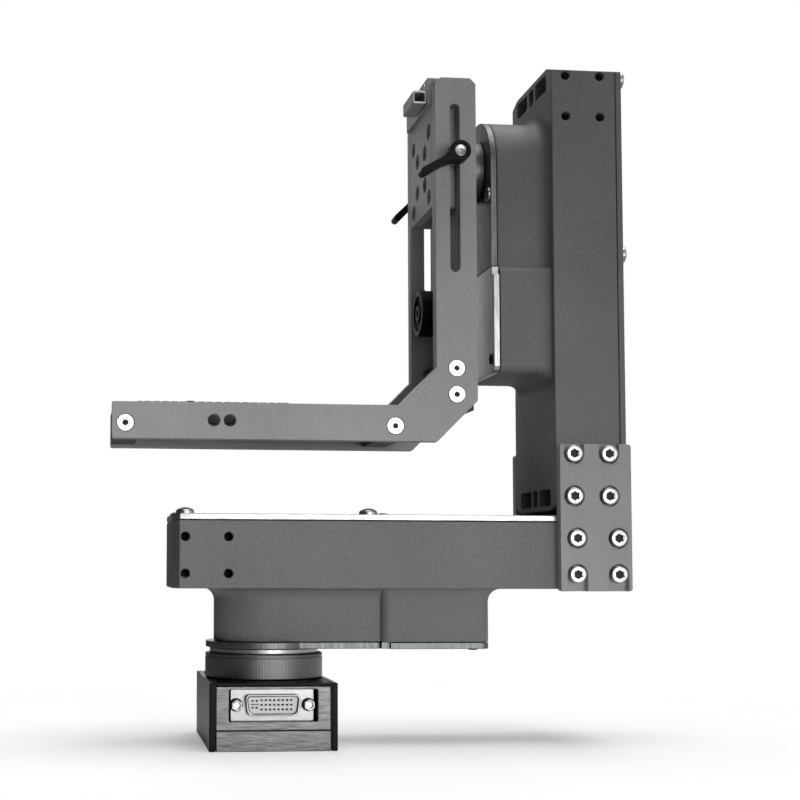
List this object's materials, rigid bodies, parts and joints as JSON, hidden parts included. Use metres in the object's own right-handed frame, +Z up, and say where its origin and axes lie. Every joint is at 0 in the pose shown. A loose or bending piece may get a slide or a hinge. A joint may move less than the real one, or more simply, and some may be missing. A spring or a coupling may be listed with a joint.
{
  "type": "remote pan tilt head",
  "caption": "Motorised two-axis camera head: fixed base with cable socket, panning arm, upright column and a tilting open cradle with a height-adjustable carriage.",
  "frame": {"origin": "middle of the base's underside, on the pan axis", "axes": "+Z up along the pan axis, +X along the arm towards the column, +Y away from the side with the cable connector"},
  "size_m": [0.2473, 0.0854, 0.3266],
  "materials": {
    "grey_paint": "fine-textured satin charcoal coating",
    "dark_paint": "dark satin coating",
    "black_anodised": "black anodised, satin",
    "brushed_grey": "brushed grey anodised",
    "bright_aluminium": "bright machined edge",
    "stainless": "polished stainless",
    "bearing_steel": "ground",
    "connector_nickel": "nickel plated",
    "black_plastic": "moulded, satin",
    "rubber": "matte",
    "circuit_board": "solder mask"
  },
  "bodies": {
    "base": {"base_left_cheek": "black_anodised", "base_right_cheek": "black_anodised", "base_floor": "brushed_grey", "base_top_plate": "black_anodised", "connector_panel": "brushed_grey", "rear_panel": "brushed_grey", "cable_connector": "connector_nickel", "connector_jackscrew_left": "stainless", "connector_jackscrew_right": "stainless", "pan_collar": "brushed_grey", "pan_flange": "bright_aluminium", "pan_output_shaft": "stainless", "pan_output_pulley": "brushed_grey"},
    "arm": {"pan_housing": "grey_paint", "pan_lid": "bright_aluminium", "pan_gear_cover": "bright_aluminium", "pan_motor_cover": "bright_aluminium", "pan_outer_bearing": "bearing_steel", "pan_inner_bearing": "bearing_steel", "pan_belt": "rubber", "pan_motor": "black_anodised", "pan_driver_board": "circuit_board", "slip_ring": "black_plastic", "tilt_housing": "grey_paint", "tilt_lid": "bright_aluminium", "tilt_gear_cover": "bright_aluminium", "tilt_motor_cover": "bright_aluminium", "tilt_outer_bearing": "bearing_steel", "tilt_inner_bearing": "bearing_steel", "tilt_belt": "rubber", "tilt_motor": "black_anodised", "tilt_driver_board": "circuit_board", "corner_plate_front": "grey_paint", "corner_plate_rear": "grey_paint"},
    "pan_motor_rotor": {"pan_motor_pulley": "brushed_grey"},
    "tilt_motor_rotor": {"tilt_motor_pulley": "brushed_grey"},
    "cradle": {"tilt_output_shaft": "stainless", "tilt_output_pulley": "brushed_grey", "cradle_front_plate": "grey_paint", "cradle_rear_plate": "grey_paint", "cradle_back_plate": "dark_paint", "cradle_corner_block": "dark_paint", "shelf_plate": "dark_paint", "shelf_pad": "rubber", "index_pin": "black_anodised", "front_upper_corner_screw": "stainless", "front_lower_corner_screw": "stainless", "front_shelf_right_screw": "stainless", "front_shelf_left_screw": "stainless", "rear_upper_corner_screw": "stainless", "rear_lower_corner_screw": "stainless", "rear_shelf_right_screw": "stainless", "rear_shelf_left_screw": "stainless"},
    "camera_screw": {"camera_screw": "black_anodised"},
    "lock_knob": {"lock_knob": "black_anodised"},
    "carriage": {"carriage": "grey_paint", "carriage_bar": "stainless"},
    "front_lever": {"front_clamp_lever": "black_plastic"},
    "rear_lever": {"rear_clamp_lever": "black_plastic"}
  },
  "joints": [
    {"name": "pan", "type": "hinge", "parent": "base", "child": "arm", "pos_m": [0, 0, 0.0735], "axis": [0, 0, 1], "continuous": true},
    {"name": "tilt", "type": "hinge", "parent": "arm", "child": "cradle", "pos_m": [0.1, 0, 0.2806], "axis": [1, 0, 0], "continuous": true},
    {"name": "pan_motor_spin", "type": "hinge", "parent": "arm", "child": "pan_motor_rotor", "pos_m": [0.0782, 0, 0.0615], "axis": [0, 0, 1], "continuous": true},
    {"name": "tilt_motor_spin", "type": "hinge", "parent": "arm", "child": "tilt_motor_rotor", "pos_m": [0.1235, 0, 0.2024], "axis": [1, 0, 0], "continuous": true},
    {"name": "carriage_slide", "type": "slide", "parent": "cradle", "child": "carriage", "axis": [0, 0, 1], "range_m": [-0.036, 0.023]},
    {"name": "front_lever_turn", "type": "hinge", "parent": "carriage", "child": "front_lever", "pos_m": [0.088, -0.036, 0.2795], "axis": [0, -1, 0], "range_deg": [0, 150]},
    {"name": "rear_lever_turn", "type": "hinge", "parent": "carriage", "child": "rear_lever", "pos_m": [0.088, 0.036, 0.2795], "axis": [0, 1, 0], "range_deg": [0, 150]},
    {"name": "camera_screw_turn", "type": "hinge", "parent": "cradle", "child": "camera_screw", "pos_m": [0.0015, 0, 0.151], "axis": [0, 0, 1], "continuous": true},
    {"name": "lock_knob_turn", "type": "hinge", "parent": "cradle", "child": "lock_knob", "pos_m": [0.0803, 0, 0.2088], "axis": [1, 0, 0], "continuous": true}
  ],
  "couplings": [
    {"joint": "pan_motor_spin", "follows": "pan", "ratio": -3},
    {"joint": "tilt_motor_spin", "follows": "tilt", "ratio": 3}
  ]
}
